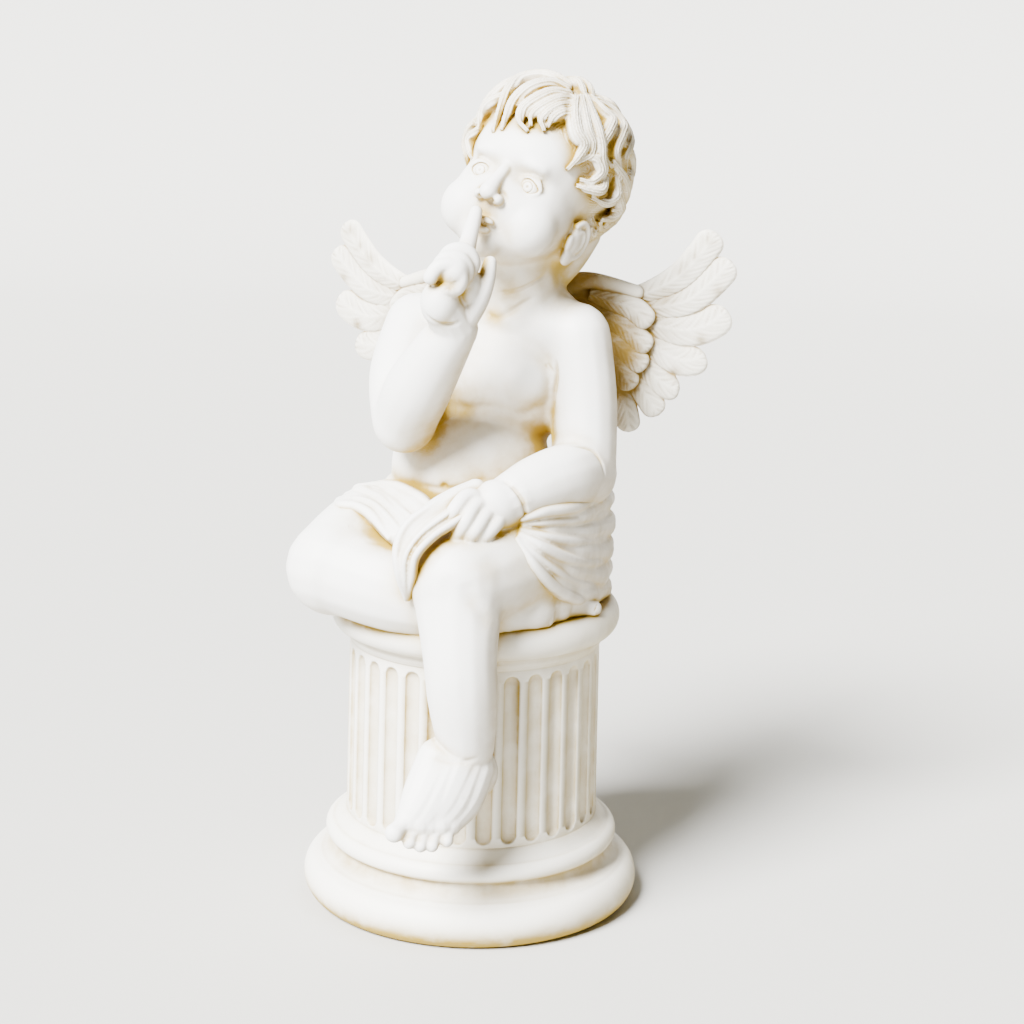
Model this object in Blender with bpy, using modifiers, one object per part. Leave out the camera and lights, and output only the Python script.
"""A cupid seated on a fluted column plinth, a finger at the lips.

Four castings, each one solid: the turned and fluted plinth, the figure with its
cloth and hair, and a pair of wings that are fixed to the shoulder blades.
Metres, +Z up, with the origin at the centre of the plinth's underside. The front,
-Y, is the side that the hanging leg is on.
"""

import math

import bmesh
import bpy
from mathutils import Matrix, Vector

# Plinth heights, stacked from the floor; the shaft takes what is left
PLINTH_HEIGHT = 0.2650
BASE_ROLL_HEIGHT = 0.0350
COVE_HEIGHT = 0.0155
UPPER_ROLL_HEIGHT = 0.0160
SHAFT_FLARE_HEIGHT = 0.0065
NECK_BAND_HEIGHT = 0.0077
NECK_FLARE_HEIGHT = 0.0016
RIM_ROLL_HEIGHT = 0.0270

# Plinth radii, each stepping out from the shaft
SHAFT_TOP_RADIUS = 0.1065
SHAFT_TAPER = 0.0018
NECK_BAND_STEP = 0.0036
SEAT_STEP = 0.0055
RIM_BULGE = 0.0107
UPPER_ROLL_STEP = 0.0092
UPPER_ROLL_BULGE = 0.0083
COVE_REACH = 0.0125
BASE_ROLL_BULGE = 0.0146

# Flutes: how many, the share of the spacing that each takes, and their size
FLUTE_COUNT = 32
FLUTE_SHARE = 0.64
FLUTE_DEPTH = 0.0042
FLUTE_MARGIN = 0.0065
FLUTE_FACETS = 12
PLINTH_SIDES = 48

# How the castings meet
JOINT_GAP = 0.0004

# The figure's height from the seat to the crown, and the height its points are drawn to
FIGURE_HEIGHT = 0.4380
DRAWN_HEIGHT = 0.4380

# Figure: the centres that its forms are placed from, measured from the seat's centre
HIPS = Vector((0.006, 0.022, 0.053))
BELLY = Vector((-0.006, 0.004, 0.107))
CHEST = Vector((0.012, 0.012, 0.181))
NECK = Vector((0.030, 0.010, 0.257))
HEAD = Vector((0.036, -0.002, 0.347))
TORSO_TURN = math.radians(-17)
HEAD_TURN = math.radians(-24)
HEAD_LIFT = math.radians(-20)
HEAD_TILT = math.radians(15)

# Hair: half sizes of the egg that the locks lie on
HAIR_WIDTH = 0.065
HAIR_DEPTH = 0.068
HAIR_HEIGHT = 0.064

# Wings: the root from the chest's centre (out, back, up), how far each sweeps back
# and droops, then blades as (out, up) of each base and tip, and their widths
WING_ROOT = (0.036, 0.052, 0.070)
WING_SWEEP = {"wing_left": math.radians(8), "wing_right": math.radians(16)}
WING_DROOP = {"wing_left": 0.0, "wing_right": math.radians(4)}
BLADE_THICKNESS = 0.0060
WING_BLADES = (
    ((0.060, 0.000), (0.132, 0.058), 0.0270),
    ((0.064, -0.008), (0.146, 0.034), 0.0270),
    ((0.066, -0.022), (0.145, -0.012), 0.0310),
    ((0.060, -0.036), (0.128, -0.049), 0.0280),
    ((0.052, -0.046), (0.110, -0.076), 0.0260),
    ((0.042, -0.050), (0.091, -0.100), 0.0240),
    ((0.032, -0.056), (0.066, -0.116), 0.0230),
    ((0.016, -0.058), (0.042, -0.112), 0.0220),
)
WING_COVERTS = (
    ((0.034, 0.000), (0.080, -0.030), 0.0240),
    ((0.030, -0.018), (0.079, -0.048), 0.0230),
    ((0.026, -0.034), (0.079, -0.063), 0.0220),
    ((0.018, -0.046), (0.062, -0.078), 0.0220),
    ((0.010, -0.052), (0.042, -0.086), 0.0220),
)

# Fineness of the fused skins, how soft their joins are, and the triangles each keeps
BODY_VOXEL = 0.0030
DETAIL_VOXEL = 0.0022
WING_VOXEL = 0.0020
BODY_SOFTENING = 10
DETAIL_SOFTENING = 2
FIGURE_TRIANGLES = 3620
WING_TRIANGLES = 640

# Sizes that follow from the ones above
UPPER_ROLL_FOOT_Z = BASE_ROLL_HEIGHT + COVE_HEIGHT
SHAFT_FOOT_Z = UPPER_ROLL_FOOT_Z + UPPER_ROLL_HEIGHT + SHAFT_FLARE_HEIGHT
SHAFT_TOP_Z = PLINTH_HEIGHT - RIM_ROLL_HEIGHT - NECK_FLARE_HEIGHT - NECK_BAND_HEIGHT
SHAFT_FOOT_RADIUS = SHAFT_TOP_RADIUS + SHAFT_TAPER
SEAT_RADIUS = SHAFT_TOP_RADIUS + SEAT_STEP
RIM_RADIUS = SEAT_RADIUS + RIM_BULGE
UPPER_ROLL_RADIUS = SHAFT_FOOT_RADIUS + UPPER_ROLL_STEP
FOOT_RADIUS = UPPER_ROLL_RADIUS + COVE_REACH
TORSO_AXES = Matrix.Rotation(TORSO_TURN, 3, "Z")
HEAD_AXES = (
    Matrix.Rotation(HEAD_TURN, 3, "Z")
    @ Matrix.Rotation(HEAD_LIFT, 3, "X")
    @ Matrix.Rotation(HEAD_TILT, 3, "Y")
)


def past_rim(x, out, z):
    """A point of the hanging leg: out is how far it stands in front of the plinth's rim."""
    return Vector((x, -RIM_RADIUS - out, z))


# The figure's joints
SHOULDER_R = Vector((-0.054, 0.030, 0.224))
ELBOW_R = Vector((-0.061, -0.052, 0.157))
WRIST_R = Vector((-0.021, -0.100, 0.240))
SHOULDER_L = Vector((0.078, -0.012, 0.223))
ELBOW_L = Vector((0.087, -0.034, 0.113))
WRIST_L = Vector((0.030, -0.104, 0.108))
HIP_R = Vector((-0.040, 0.030, 0.047))
KNEE_R = Vector((-0.117, -0.058, 0.038))
ANKLE_R = Vector((0.062, -0.078, 0.021))
HIP_L = Vector((0.052, 0.006, 0.047))
KNEE_L = past_rim(-0.014, 0.006, 0.043)
CALF_L = past_rim(-0.0115, 0.026, -0.010)
ANKLE_L = past_rim(-0.005, 0.0183, -0.089)


def clear_scene():
    """Start from an empty file, with one collection for the parts and one for the cutters."""
    for obj in list(bpy.data.objects):
        bpy.data.objects.remove(obj)
    parts = bpy.data.collections.new("cupid_statue")
    cutters = bpy.data.collections.new("cutters")
    for collection in (parts, cutters):
        bpy.context.scene.collection.children.link(collection)
    return parts, cutters


def finish(name, colour, roughness):
    """A matt cast finish."""
    material = bpy.data.materials.new(name)
    material.use_nodes = True
    shader = material.node_tree.nodes["Principled BSDF"]
    shader.inputs["Base Color"].default_value = (*colour, 1.0)
    shader.inputs["Roughness"].default_value = roughness
    shader.inputs["Metallic"].default_value = 0.0
    return material


def evaluated_mesh(obj):
    """The object's mesh with its modifiers applied."""
    bpy.context.view_layer.update()
    graph = bpy.context.evaluated_depsgraph_get()
    return bpy.data.meshes.new_from_object(obj.evaluated_get(graph))


def apply_modifiers(obj):
    mesh = evaluated_mesh(obj)
    obj.modifiers.clear()
    obj.data = mesh


def add_cutter(cutters, obj):
    """File a cutting shape away, so that it is drawn as wire and never rendered."""
    obj.hide_render = True
    obj.display_type = "WIRE"
    cutters.objects.link(obj)
    return obj


# Plinth


def arc(centre, reach, height, start, end, count):
    """Profile points (radius, z) round an ellipse, from one angle to another in degrees."""
    angles = [math.radians(start + (end - start) * i / (count - 1)) for i in range(count)]
    return [(centre[0] + reach * math.cos(a), centre[1] + height / 2 * math.sin(a)) for a in angles]


def plinth_profile(gap=0.0):
    """The turned outline, from the seat's edge down to the foot, swollen by gap."""
    rim_z = PLINTH_HEIGHT - RIM_ROLL_HEIGHT / 2
    upper_z = UPPER_ROLL_FOOT_Z + UPPER_ROLL_HEIGHT / 2
    points = arc((SEAT_RADIUS, rim_z), RIM_BULGE, RIM_ROLL_HEIGHT, 90, -52, 7)
    points += [
        (SHAFT_TOP_RADIUS + NECK_BAND_STEP, SHAFT_TOP_Z + NECK_BAND_HEIGHT),
        (SHAFT_TOP_RADIUS + NECK_BAND_STEP / 3, SHAFT_TOP_Z + NECK_BAND_HEIGHT / 12),
        (SHAFT_TOP_RADIUS, SHAFT_TOP_Z),
        (SHAFT_FOOT_RADIUS, SHAFT_FOOT_Z),
        (UPPER_ROLL_RADIUS, upper_z + UPPER_ROLL_HEIGHT / 2),
    ]
    points += arc((UPPER_ROLL_RADIUS, upper_z), UPPER_ROLL_BULGE, UPPER_ROLL_HEIGHT, 72, -90, 6)
    cove = (UPPER_ROLL_RADIUS + COVE_HEIGHT, UPPER_ROLL_FOOT_Z)
    points += arc(cove, COVE_HEIGHT, 2 * COVE_HEIGHT, 190, 262, 4)
    points += arc((FOOT_RADIUS, BASE_ROLL_HEIGHT / 2), BASE_ROLL_BULGE, BASE_ROLL_HEIGHT, 66, -90, 8)
    return [(radius + gap, z + gap) for radius, z in points]


def turned(name, profile):
    """A solid of revolution, closed to the axis at its top and its underside."""
    outline = [(0.0, profile[0][1])] + profile + [(0.0, profile[-1][1])]
    mesh = bpy.data.meshes.new(name)
    edges = [(i, i + 1) for i in range(len(outline) - 1)]
    mesh.from_pydata([(radius, 0.0, z) for radius, z in outline], edges, [])
    obj = bpy.data.objects.new(name, mesh)
    screw = obj.modifiers.new("Turn", "SCREW")
    screw.steps = PLINTH_SIDES
    screw.render_steps = PLINTH_SIDES
    screw.use_merge_vertices = True
    screw.merge_threshold = 0.00005
    return obj


def flute_cutters(cutters):
    """A round-ended bar sunk into the shaft, repeated round the column."""
    low = SHAFT_FOOT_Z + FLUTE_MARGIN
    high = SHAFT_TOP_Z - FLUTE_MARGIN
    width = FLUTE_SHARE * 2 * math.pi * SHAFT_TOP_RADIUS / FLUTE_COUNT
    bar = ((width / 2) ** 2 + FLUTE_DEPTH**2) / (2 * FLUTE_DEPTH)
    lean = math.atan2(SHAFT_TAPER, SHAFT_TOP_Z - SHAFT_FOOT_Z)
    middle = (SHAFT_FOOT_RADIUS + SHAFT_TOP_RADIUS) / 2 + bar - FLUTE_DEPTH
    stretch = (high - low - width) / 2
    bm = bmesh.new()
    for i in range(FLUTE_COUNT):
        turn = Matrix.Rotation(2 * math.pi * (i + 0.5) / FLUTE_COUNT, 4, "Z")
        place = Matrix.Translation((0, -middle, (low + high) / 2)) @ Matrix.Rotation(-lean, 4, "X")
        verts = bmesh.ops.create_uvsphere(bm, u_segments=FLUTE_FACETS, v_segments=5, radius=bar)["verts"]
        for vert in verts:
            vert.co.z = vert.co.z * width / 2 / bar + math.copysign(stretch, vert.co.z)
        bmesh.ops.transform(bm, matrix=turn @ place, verts=verts)
    mesh = bpy.data.meshes.new("flutes")
    bm.to_mesh(mesh)
    bm.free()
    return add_cutter(cutters, bpy.data.objects.new("flutes", mesh))


def make_plinth(parts, cutters, material):
    """The turned column with its rolls, cove and flutes."""
    plinth = turned("plinth", plinth_profile())
    parts.objects.link(plinth)
    plinth.data.materials.append(material)
    cut = plinth.modifiers.new("Flutes", "BOOLEAN")
    cut.operation = "DIFFERENCE"
    cut.object = flute_cutters(cutters)
    return plinth


# Forms that the figure and the wings are fused from


def spread(points, steps):
    """A smooth path through (x, y, z, radius) points, so that a limb bends and swells."""
    ends = [points[0]] + list(points) + [points[-1]]
    path = []
    for before, start, end, after in zip(ends, ends[1:], ends[2:], ends[3:]):
        for i in range(steps):
            t = i / steps
            path.append(tuple(
                q + 0.5 * t * (r - p + t * (2 * p - 5 * q + 4 * r - s + t * (3 * q - p - 3 * r + s)))
                for p, q, r, s in zip(before, start, end, after)))
    path.append(tuple(points[-1]))
    return path


def unit_ball(segments):
    """A ball of radius 1, made once for each fineness."""
    name = f"ball_{segments}"
    if name not in bpy.data.meshes:
        bm = bmesh.new()
        bmesh.ops.create_uvsphere(bm, u_segments=segments, v_segments=segments // 2, radius=1)
        mesh = bpy.data.meshes.new(name)
        bm.to_mesh(mesh)
        bm.free()
    return bpy.data.meshes[name]


def add_ball(bm, centre, radii, axes=None, segments=20):
    """An ellipsoid: the rounded masses of the body."""
    place = Matrix.Translation(Vector(centre))
    if axes is not None:
        place = place @ axes.to_4x4()
    mesh = unit_ball(segments).copy()
    mesh.transform(place @ Matrix.Diagonal((*radii, 1)))
    bm.from_mesh(mesh)
    bpy.data.meshes.remove(mesh)


def add_limb(bm, points, steps=5):
    """A tube whose radius changes along it, with round ends: limbs, fingers, folds and locks."""
    path = spread(points, steps)
    curve = bpy.data.curves.new("limb", "CURVE")
    curve.dimensions = "3D"
    curve.bevel_depth = 1.0
    curve.bevel_resolution = 3
    curve.use_fill_caps = True
    spline = curve.splines.new("POLY")
    spline.points.add(len(path) - 1)
    for point, (x, y, z, radius) in zip(spline.points, path):
        point.co = (x, y, z, 1)
        point.radius = radius
    obj = bpy.data.objects.new("limb", curve)
    bpy.context.scene.collection.objects.link(obj)
    bm.from_mesh(evaluated_mesh(obj))
    bpy.data.objects.remove(obj)
    for x, y, z, radius in (path[0], path[-1]):
        add_ball(bm, (x, y, z), (radius,) * 3, segments=12)


def fused(name, bm, voxel, softening):
    """Overlapping forms made one skin, with the joins softened."""
    mesh = bpy.data.meshes.new(name)
    bm.to_mesh(mesh)
    bm.free()
    obj = bpy.data.objects.new(name, mesh)
    bpy.context.scene.collection.objects.link(obj)
    remesh = obj.modifiers.new("Fuse", "REMESH")
    remesh.mode = "VOXEL"
    remesh.voxel_size = voxel
    smooth = obj.modifiers.new("Soften", "SMOOTH")
    smooth.factor = 0.5
    smooth.iterations = round(softening)
    result = evaluated_mesh(obj)
    bpy.data.objects.remove(obj)
    return result


def on_head(left, forward, up):
    """A point given from the head's centre: to the figure's left, forward, and up."""
    return HEAD + HEAD_AXES @ Vector((left, -forward, up))


def on_torso(centre, left, forward, up):
    """A point given from one of the torso's centres, in the way that the chest faces."""
    return centre + TORSO_AXES @ Vector((left, -forward, up))


# Figure


def add_torso(bm):
    """Hips, belly, chest, shoulders and neck, built of broad masses."""
    add_ball(bm, HIPS, (0.078, 0.060, 0.054), TORSO_AXES)
    add_ball(bm, BELLY, (0.069, 0.060, 0.062), TORSO_AXES)
    add_ball(bm, on_torso(BELLY, 0, 0.012, -0.006), (0.050, 0.052, 0.046), TORSO_AXES)
    add_ball(bm, CHEST, (0.068, 0.047, 0.062), TORSO_AXES)
    for side in (-1, 1):
        add_ball(bm, on_torso(CHEST, side * 0.029, 0.020, 0.004), (0.030, 0.026, 0.026), TORSO_AXES)
        add_ball(bm, on_torso(CHEST, side * 0.032, -0.026, 0.012), (0.030, 0.022, 0.036), TORSO_AXES)
    collar = on_torso(CHEST, 0.002, -0.004, 0.046)
    add_limb(bm, [(*SHOULDER_R, 0.027), (*collar, 0.033), (*SHOULDER_L, 0.027)])
    nape = on_torso(NECK, 0, -0.004, -0.020)
    add_limb(bm, [(*nape, 0.040), (*NECK, 0.036), (*on_head(0, -0.012, -0.048), 0.037)])
    high = on_torso(NECK, 0, -0.010, 0.006)
    for shoulder in (SHOULDER_R, SHOULDER_L):
        add_limb(bm, [(*high.lerp(shoulder, share), 0.022) for share in (0, 0.55, 0.85)])


def add_arms(bm):
    """The bent right arm that lifts the hand, and the left arm that rests on the thigh."""
    add_limb(bm, [(*SHOULDER_R, 0.028), (-0.064, -0.008, 0.187, 0.029), (*ELBOW_R, 0.027)])
    add_limb(bm, [(*ELBOW_R, 0.026), (-0.050, -0.074, 0.187, 0.0275), (-0.033, -0.091, 0.219, 0.023),
                  (*WRIST_R, 0.019)])
    add_limb(bm, [(*SHOULDER_L, 0.029), (0.085, -0.022, 0.171, 0.0285), (*ELBOW_L, 0.027)])
    add_limb(bm, [(*ELBOW_L, 0.028), (0.068, -0.068, 0.115, 0.0285), (0.046, -0.090, 0.112, 0.0260),
                  (*WRIST_L, 0.022)])


def add_legs(bm):
    """The right leg folded on the seat, and the left leg over it, hanging past the rim."""
    add_limb(bm, [(*HIP_R, 0.046), (-0.082, -0.014, 0.051, 0.046), (*KNEE_R, 0.040)])
    add_limb(bm, [(*KNEE_R, 0.037), (-0.060, -0.082, 0.033, 0.034), (0.000, -0.086, 0.028, 0.029),
                  (*ANKLE_R, 0.021)])
    add_limb(bm, [(*HIP_L, 0.054), (0.030, -0.068, 0.051, 0.051), (*KNEE_L, 0.040)])
    shin = CALF_L.lerp(ANKLE_L, 0.45) + Vector((0, -0.004, 0))
    add_limb(bm, [(*KNEE_L, 0.038), (*CALF_L, 0.0300), (*shin, 0.0285), (*ANKLE_L, 0.0232)])


def add_feet(bm):
    """The hanging foot, toes down and out, and the folded foot lying on the rim."""
    add_ball(bm, ANKLE_L + Vector((0.007, 0.009, -0.0245)), (0.0195, 0.0200, 0.0215))
    for side in (0, 0.5, 1):
        instep = ANKLE_L + Vector((-0.020 + 0.023 * side, -0.005 + 0.006 * side, -0.012 - 0.006 * side))
        arch = ANKLE_L + Vector((-0.032 + 0.029 * side, -0.025 + 0.010 * side, -0.034 - 0.0055 * side))
        ball = ANKLE_L + Vector((-0.0435 + 0.0315 * side, -0.037 + 0.008 * side, -0.0505 - 0.0025 * side))
        add_limb(bm, [(*instep, 0.0205), (*arch, 0.0182), (*ball, 0.0118)])
    for i in range(5):
        share = i / 4
        drop = min(1, 2 * share)
        base = ANKLE_L + Vector((-0.0465 + 0.0345 * share, -0.041 + 0.007 * share, -0.049 - 0.008 * drop))
        tip = ANKLE_L + Vector((-0.0543 + 0.0406 * share, -0.049 + 0.009 * share, -0.055 - 0.011 * drop))
        size = 0.0060 if i else 0.0080
        add_limb(bm, [(*base, size), (*tip, size)], steps=2)
    sole = ANKLE_R + Vector((0.006, 0.0, -0.004))
    instep = ANKLE_R + Vector((0.022, 0.016, -0.005))
    toes = ANKLE_R + Vector((0.036, 0.024, -0.010))
    add_ball(bm, sole, (0.020, 0.019, 0.019))
    add_limb(bm, [(*sole, 0.018), (*instep, 0.0155), (*toes, 0.012)])
    for i in range(5):
        share = i / 4
        size = 0.0072 - 0.0020 * share
        base = toes + Vector((-0.004, -0.012 + 0.020 * share, 0.002 * share))
        tip = base + Vector((0.016 - 0.006 * share, 0.004, -0.003))
        add_limb(bm, [(*base, size), (*tip, size)], steps=2)


def add_raised_hand(bm):
    """The fist at the chin, fingers rolled in, the forefinger up to the lips and the thumb beside it."""
    heel = WRIST_R + Vector((-0.012, -0.014, 0.021))
    curl = WRIST_R + Vector((-0.0066, -0.024, 0.0397))
    away = Vector((0.45, 0.70, 0.55)).normalized()
    add_ball(bm, heel, (0.0155, 0.0165, 0.0185))
    add_limb(bm, [(*WRIST_R, 0.0185), (*heel, 0.0150)])
    add_ball(bm, curl + away * 0.012, (0.013, 0.015, 0.014))
    for i in range(3):
        ring = []
        for step in range(6):
            angle = math.radians(168 - 53 * step)
            out = 0.0128 - 0.0011 * step
            spoke = Vector((math.cos(angle), 0.12 * math.cos(angle), math.sin(angle)))
            ring.append((*(curl + away * 0.0098 * i + spoke * out), 0.0060))
        add_limb(bm, ring, steps=3)
    root = WRIST_R + Vector((0.006, -0.002, 0.055))
    tip = on_head(-0.001, 0.0650, -0.0455)
    knuckle = curl + away * 0.026
    add_limb(bm, [(*knuckle, 0.0085), (*root, 0.0078), (*root.lerp(tip, 0.5), 0.0068), (*tip, 0.0056)])
    thumb = [(0.0084, -0.004, 0.009, 0.0105), (0.0174, -0.004, 0.023, 0.0090),
             (0.0233, 0.002, 0.038, 0.0074), (0.0261, 0.008, 0.051, 0.0058)]
    add_limb(bm, [(*(WRIST_R + Vector(step[:3])), step[3]) for step in thumb])


def add_resting_hand(bm):
    """The hand that lies on the thigh and gathers the cloth, its fingers hooked over a fold."""
    back = WRIST_L + Vector((-0.015, -0.010, -0.0054))
    add_ball(bm, back, (0.0230, 0.0190, 0.0205), Matrix.Rotation(math.radians(20), 3, "Z"))
    add_limb(bm, [(*WRIST_L, 0.0215), (*back, 0.0190)])
    for i in range(4):
        share = i / 3
        root = back + Vector((-0.0237 + 0.024 * share, -0.014 - 0.004 * math.sin(math.pi * share),
                              0.009 - 0.019 * share))
        middle = root + Vector((-0.0098 + 0.0014 * share, -0.010 + 0.003 * share, -0.0092))
        tip = middle + Vector((-0.0076 - 0.0016 * share, 0.002, -0.0142 + 0.005 * share))
        inner = root.lerp(back, 0.4)
        add_limb(bm, [(*inner, 0.0080), (*root, 0.0070), (*middle, 0.0064), (*tip, 0.0054)], steps=3)


def add_head(bm):
    """Skull, forehead, cheeks, jaw and chin, on plain child's proportions."""
    add_ball(bm, on_head(0, -0.010, 0.016), (0.058, 0.064, 0.058), HEAD_AXES)
    add_ball(bm, on_head(0, 0.028, 0.014), (0.043, 0.026, 0.036), HEAD_AXES)
    add_ball(bm, on_head(0, 0.010, -0.024), (0.052, 0.046, 0.048), HEAD_AXES)
    add_ball(bm, on_head(0, 0.016, -0.050), (0.036, 0.034, 0.024), HEAD_AXES)
    add_ball(bm, on_head(0, 0.040, -0.064), (0.017, 0.013, 0.012), HEAD_AXES)
    for side in (-1, 1):
        add_ball(bm, on_head(side * 0.028, 0.027, -0.038), (0.024, 0.023, 0.025), HEAD_AXES)
        add_ball(bm, on_head(side * 0.019, 0.044, 0.006), (0.016, 0.010, 0.006), HEAD_AXES)


def add_features(bm):
    """The small forms of the face that a stronger softening would lose."""
    add_limb(bm, [(*on_head(0, 0.050, 0.000), 0.0050), (*on_head(0, 0.056, -0.014), 0.0055),
                  (*on_head(0, 0.062, -0.026), 0.0070)])
    for side in (-1, 1):
        add_ball(bm, on_head(side * 0.0075, 0.057, -0.030), (0.0046,) * 3)
        add_ball(bm, on_head(side * 0.0225, 0.043, -0.010), (0.0105, 0.0085, 0.0070), HEAD_AXES)
        ear = [(0.056, -0.002, -0.012, 0.0050), (0.059, -0.012, -0.018, 0.0055),
               (0.060, -0.016, -0.034, 0.0055), (0.056, -0.003, -0.046, 0.0065)]
        add_limb(bm, [(*on_head(side * out, forward, up), size) for out, forward, up, size in ear])
        add_ball(bm, on_head(side * 0.053, -0.004, -0.028), (0.006, 0.012, 0.015), HEAD_AXES)
    for up, bulge, size in ((-0.0455, 0.0565, 0.0042), (-0.0540, 0.0550, 0.0046)):
        add_limb(bm, [(*on_head(side * 0.012, bulge - 0.006 * abs(side), up), size * (1 - 0.35 * abs(side)))
                      for side in (-1, 0, 1)])


def on_scalp(turn, rise, out):
    """A point on the hair's egg: turn is from the face round to the figure's left, in degrees."""
    turn, rise = math.radians(turn), math.radians(rise)
    return on_head(
        (HAIR_WIDTH + out) * math.sin(turn) * math.cos(rise),
        -0.014 + (HAIR_DEPTH + out) * math.cos(turn) * math.cos(rise),
        0.026 + (HAIR_HEIGHT + out) * math.sin(rise))


def add_lock(bm, start, end, thickness, wave, lift):
    """An S-shaped lock from one (turn, rise) on the scalp to another, thick in the middle."""
    points = []
    for i in range(7):
        t = i / 6
        swing = wave * math.sin(2 * math.pi * t) * (0.4 + 0.6 * t)
        turn = start[0] + (end[0] - start[0]) * t + swing
        rise = start[1] + (end[1] - start[1]) * t
        size = thickness * (0.45 + 0.75 * math.sin(math.pi * (0.15 + 0.85 * t)))
        points.append((*on_scalp(turn, rise, lift * t * t), max(size, 0.003)))
    add_limb(bm, points, steps=2)


def add_hair(bm):
    """Short curls: a sweep over the brow from a side parting, and rows of locks behind it."""
    add_ball(bm, on_head(0, -0.018, 0.027), (0.061, 0.060, 0.060), HEAD_AXES)
    for i in range(6):
        t = i / 5
        add_lock(bm, (52 - 22 * t, 58 + 10 * t), (34 - 92 * t, 30 - 6 * t), 0.0105, 7 - 3 * t, 0.002)
    for i in range(5):
        add_lock(bm, (48 + 9 * i, 62 - 3 * i), (62 + 16 * i, 2 - 7 * i), 0.0105, 9, 0.001)
    for i in range(9):
        turn = 96 + 25 * i
        add_lock(bm, (turn - 12, 66), (turn, 14), 0.0115, 8, 0.002)
        add_lock(bm, (turn - 4, 22), (turn + 9, -22), 0.0105, 9, 0.002)
    for i in range(6):
        turn = 120 + 25 * i
        add_lock(bm, (turn, -14), (turn + 8, -46), 0.0095, 9, 0.001)


# Folds over the right thigh that run down into the lap, then the end that the left
# hand gathers, falling between the knees: (x, y, z, radius) along each
CLOTH_FOLDS = (
    ((-0.100, 0.034, 0.077, 0.010), (-0.082, -0.002, 0.090, 0.010), (-0.058, -0.034, 0.092, 0.009),
     (-0.030, -0.058, 0.087, 0.008), (-0.002, -0.072, 0.087, 0.007)),
    ((-0.118, 0.036, 0.063, 0.010), (-0.116, 0.004, 0.073, 0.009), (-0.088, -0.034, 0.083, 0.009),
     (-0.069, -0.064, 0.075, 0.007), (-0.060, -0.092, 0.063, 0.005)),
    ((-0.106, 0.024, 0.071, 0.012), (-0.082, -0.024, 0.085, 0.012), (-0.052, -0.062, 0.075, 0.010),
     (-0.044, -0.094, 0.065, 0.008)),
    ((0.016, -0.110, 0.117, 0.008), (-0.014, -0.106, 0.103, 0.008), (-0.040, -0.108, 0.087, 0.009),
     (-0.056, -0.112, 0.071, 0.008)),
    ((0.004, -0.124, 0.101, 0.008), (-0.028, -0.134, 0.087, 0.009), (-0.050, -0.136, 0.069, 0.008),
     (-0.056, -0.128, 0.045, 0.007), (-0.050, -0.112, 0.025, 0.0045)),
    ((0.000, -0.132, 0.093, 0.007), (-0.026, -0.146, 0.081, 0.007), (-0.044, -0.144, 0.061, 0.006),
     (-0.050, -0.124, 0.031, 0.0045)),
)


def add_cloth(bm):
    """The cloth round the hips: a wrapped mass, folds in front, and a fan at the figure's left."""
    add_ball(bm, HIPS + Vector((0.006, 0.012, -0.014)), (0.094, 0.072, 0.052), TORSO_AXES)
    for fold in CLOTH_FOLDS:
        add_limb(bm, list(fold), steps=4)
    gather = Vector((0.040, -0.098, 0.081))
    for i in range(7):
        t = i / 6
        end = Vector((0.108 - 0.022 * t * t, 0.046 - 0.100 * t, 0.087 - 0.086 * t))
        middle = gather.lerp(end, 0.5) + Vector((0.012, -0.010 + 0.004 * t, 0.004))
        ridge = 0.002 * (i % 2)
        add_limb(bm, [(*gather, 0.006), (*middle, 0.0105 - ridge), (*end, 0.0125 - ridge)], steps=3)
    turns = [math.radians(10 + 170 * i / 8) for i in range(9)]
    waist = [BELLY + Vector((0.068 * math.cos(a), 0.060 * math.sin(a), 0.006 * math.sin(3 * a) - 0.024))
             for a in turns]
    hem = [HIPS + Vector((0.094 * math.cos(a), 0.076 * math.sin(a), 0.004 * math.sin(5 * a) - 0.046))
           for a in turns]
    add_limb(bm, [(*point, 0.010) for point in waist], steps=3)
    add_limb(bm, [(*point, 0.010) for point in hem], steps=3)
    for i, top in enumerate(waist):
        angle = turns[i] + math.radians(14 if i % 2 else 4)
        foot = HIPS + Vector((0.096 * math.cos(angle), 0.077 * math.sin(angle), -0.048))
        middle = top.lerp(foot, 0.5) + Vector((0.008 * math.cos(angle), 0.008 * math.sin(angle), 0))
        add_limb(bm, [(*top, 0.007), (*middle, 0.011), (*foot, 0.012)], steps=3)


def on_seat(mesh):
    """Stand a mesh drawn from the seat's centre on the plinth, at the figure's own height."""
    mesh.transform(Matrix.Translation((0, 0, PLINTH_HEIGHT)) @ Matrix.Scale(FIGURE_HEIGHT / DRAWN_HEIGHT, 4))
    return mesh


def make_figure(parts, cutters, material):
    """The whole figure: a soft body first, then the sharper forms fused on, cut to the plinth."""
    core = bmesh.new()
    add_torso(core)
    add_arms(core)
    add_legs(core)
    add_head(core)
    detail = bmesh.new()
    detail.from_mesh(fused("body", core, BODY_VOXEL, BODY_SOFTENING))
    add_feet(detail)
    add_raised_hand(detail)
    add_resting_hand(detail)
    add_features(detail)
    add_hair(detail)
    add_cloth(detail)
    mesh = on_seat(fused("cupid_figure", detail, DETAIL_VOXEL, DETAIL_SOFTENING))
    mesh.materials.append(material)
    figure = bpy.data.objects.new("cupid_figure", mesh)
    parts.objects.link(figure)
    reduce_to(figure, FIGURE_TRIANGLES)
    cut_away(figure, add_cutter(cutters, turned("plinth_clearance", plinth_profile(JOINT_GAP))))
    return figure


def reduce_to(obj, triangles):
    """Fewer, larger facets that keep the outline."""
    obj.data.calc_loop_triangles()
    thin = obj.modifiers.new("Reduce", "DECIMATE")
    thin.ratio = triangles / len(obj.data.loop_triangles)
    thin.use_collapse_triangulate = True
    apply_modifiers(obj)


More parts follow.
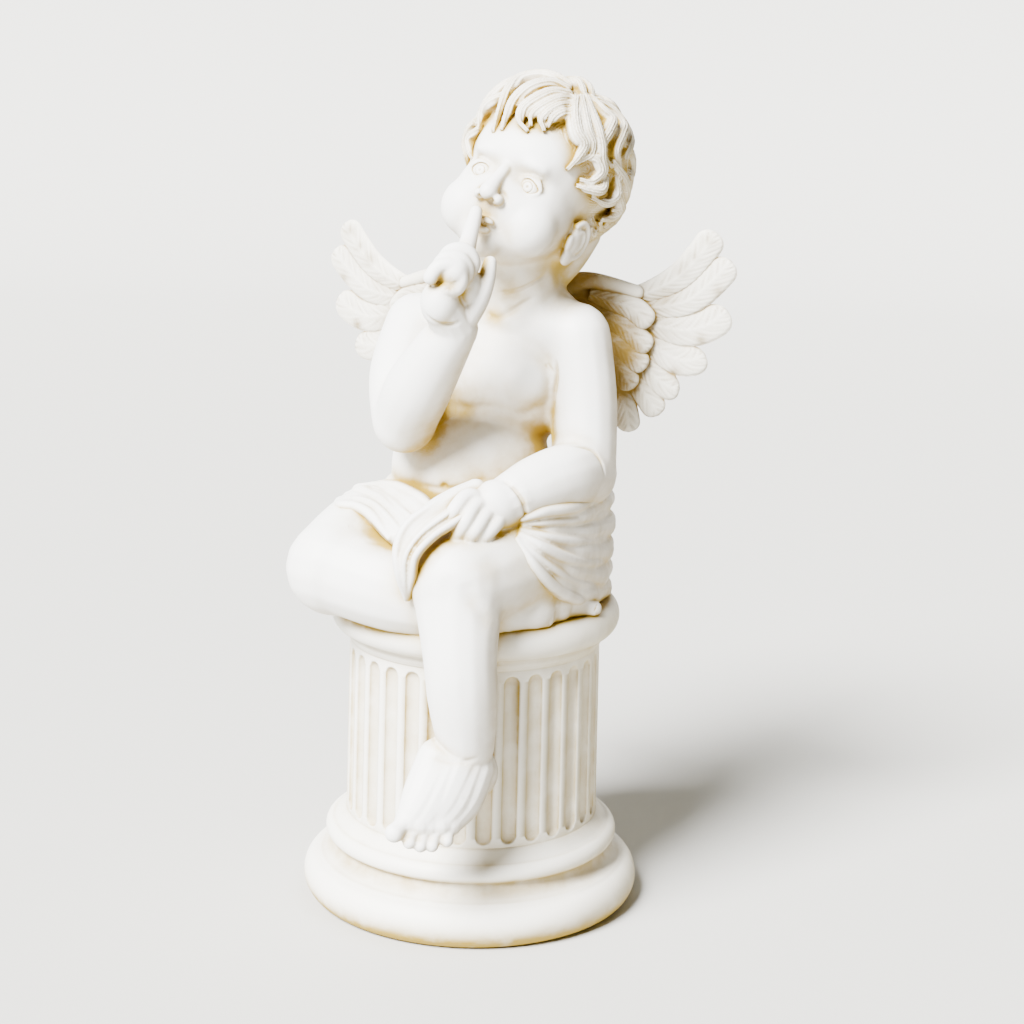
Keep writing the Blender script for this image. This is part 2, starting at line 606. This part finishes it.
def cut_away(obj, cutter):
    """Take the cutter's space out of a casting, and drop any sliver that comes loose."""
    cut = obj.modifiers.new("Clear", "BOOLEAN")
    cut.operation = "DIFFERENCE"
    cut.object = cutter
    apply_modifiers(obj)
    bm = bmesh.new()
    bm.from_mesh(obj.data)
    bmesh.ops.remove_doubles(bm, verts=bm.verts, dist=0.00005)
    left, islands = set(bm.verts), []
    while left:
        stack, island = [left.pop()], []
        while stack:
            vert = stack.pop()
            island.append(vert)
            near = [edge.other_vert(vert) for edge in vert.link_edges]
            fresh = [other for other in near if other in left]
            left.difference_update(fresh)
            stack.extend(fresh)
        islands.append(island)
    for island in sorted(islands, key=len)[:-1]:
        bmesh.ops.delete(bm, geom=island, context="VERTS")
    bmesh.ops.triangulate(bm, faces=bm.faces)
    bm.to_mesh(obj.data)
    bm.free()


# Wings


def add_blade(bm, base, tip, width, axes, thickness):
    """A round-ended feather from base to tip, widest near its end, flat in the wing's plane."""
    along = (tip - base).normalized()
    across = (axes @ Vector((0, 1, 0))).cross(along).normalized()
    turn = Matrix((across, along.cross(across) * (thickness / width), along)).transposed()
    length = (tip - base).length - width * 0.36
    swells = ((0.0, 0.26), (0.3, 0.40), (0.65, 0.50), (0.9, 0.48), (1.0, 0.40))
    blade = bmesh.new()
    add_limb(blade, [(0, 0, length * share, width * swell) for share, swell in swells], steps=2)
    mesh = bpy.data.meshes.new("blade")
    blade.to_mesh(mesh)
    blade.free()
    mesh.transform(Matrix.Translation(base) @ turn.to_4x4())
    bm.from_mesh(mesh)
    bpy.data.meshes.remove(mesh)


def make_wing(parts, cutters, material, name, side, figure):
    """A fan of feathers from the wing's wrist, with shorter rows over their roots."""
    sweep = Matrix.Rotation(side * WING_SWEEP[name], 3, "Z")
    axes = TORSO_AXES @ sweep @ Matrix.Rotation(side * WING_DROOP[name], 3, "Y")
    root = on_torso(CHEST, side * WING_ROOT[0], -WING_ROOT[1], WING_ROOT[2])

    def at(out, up, back=0.0):
        return root + axes @ Vector((side * out, back, up))

    bm = bmesh.new()
    for base, tip, width in WING_BLADES:
        add_blade(bm, at(*base), at(*tip), width, axes, BLADE_THICKNESS)
    for base, tip, width in WING_COVERTS:
        add_blade(bm, at(*base, -0.005), at(*tip, -0.006), width, axes, 1.5 * BLADE_THICKNESS)
    add_ball(bm, at(0.030, -0.022, -0.001), (0.048, 0.0065, 0.030), axes)
    add_limb(bm, [(*at(-0.012, -0.020, -0.006), 0.012), (*at(0.006, 0.004), 0.010),
                  (*at(0.030, 0.012, -0.002), 0.008), (*at(0.070, 0.004, -0.002), 0.0065)])
    add_limb(bm, [(*at(-0.010, -0.030, -0.006), 0.013), (*at(0.030, -0.012), 0.010),
                  (*at(0.064, -0.032), 0.006)])
    add_limb(bm, [(*at(-0.006, -0.034), 0.012), (*at(0.034, -0.044), 0.009), (*at(0.060, -0.056), 0.006)])
    mesh = on_seat(fused(name, bm, WING_VOXEL, DETAIL_SOFTENING))
    mesh.materials.append(material)
    wing = bpy.data.objects.new(name, mesh)
    parts.objects.link(wing)
    reduce_to(wing, WING_TRIANGLES)
    swollen = add_cutter(cutters, bpy.data.objects.new("figure_clearance", figure.data.copy()))
    push = swollen.modifiers.new("Gap", "DISPLACE")
    push.strength = JOINT_GAP
    push.mid_level = 0.0
    cut_away(wing, swollen)
    return wing


def main():
    parts, cutters = clear_scene()
    stone = finish("cast_stone", (0.86, 0.83, 0.76), 0.6)
    aged = finish("aged_stone", (0.72, 0.64, 0.50), 0.65)
    make_plinth(parts, cutters, stone)
    figure = make_figure(parts, cutters, stone)
    make_wing(parts, cutters, aged, "wing_left", 1, figure)
    make_wing(parts, cutters, aged, "wing_right", -1, figure)


main()
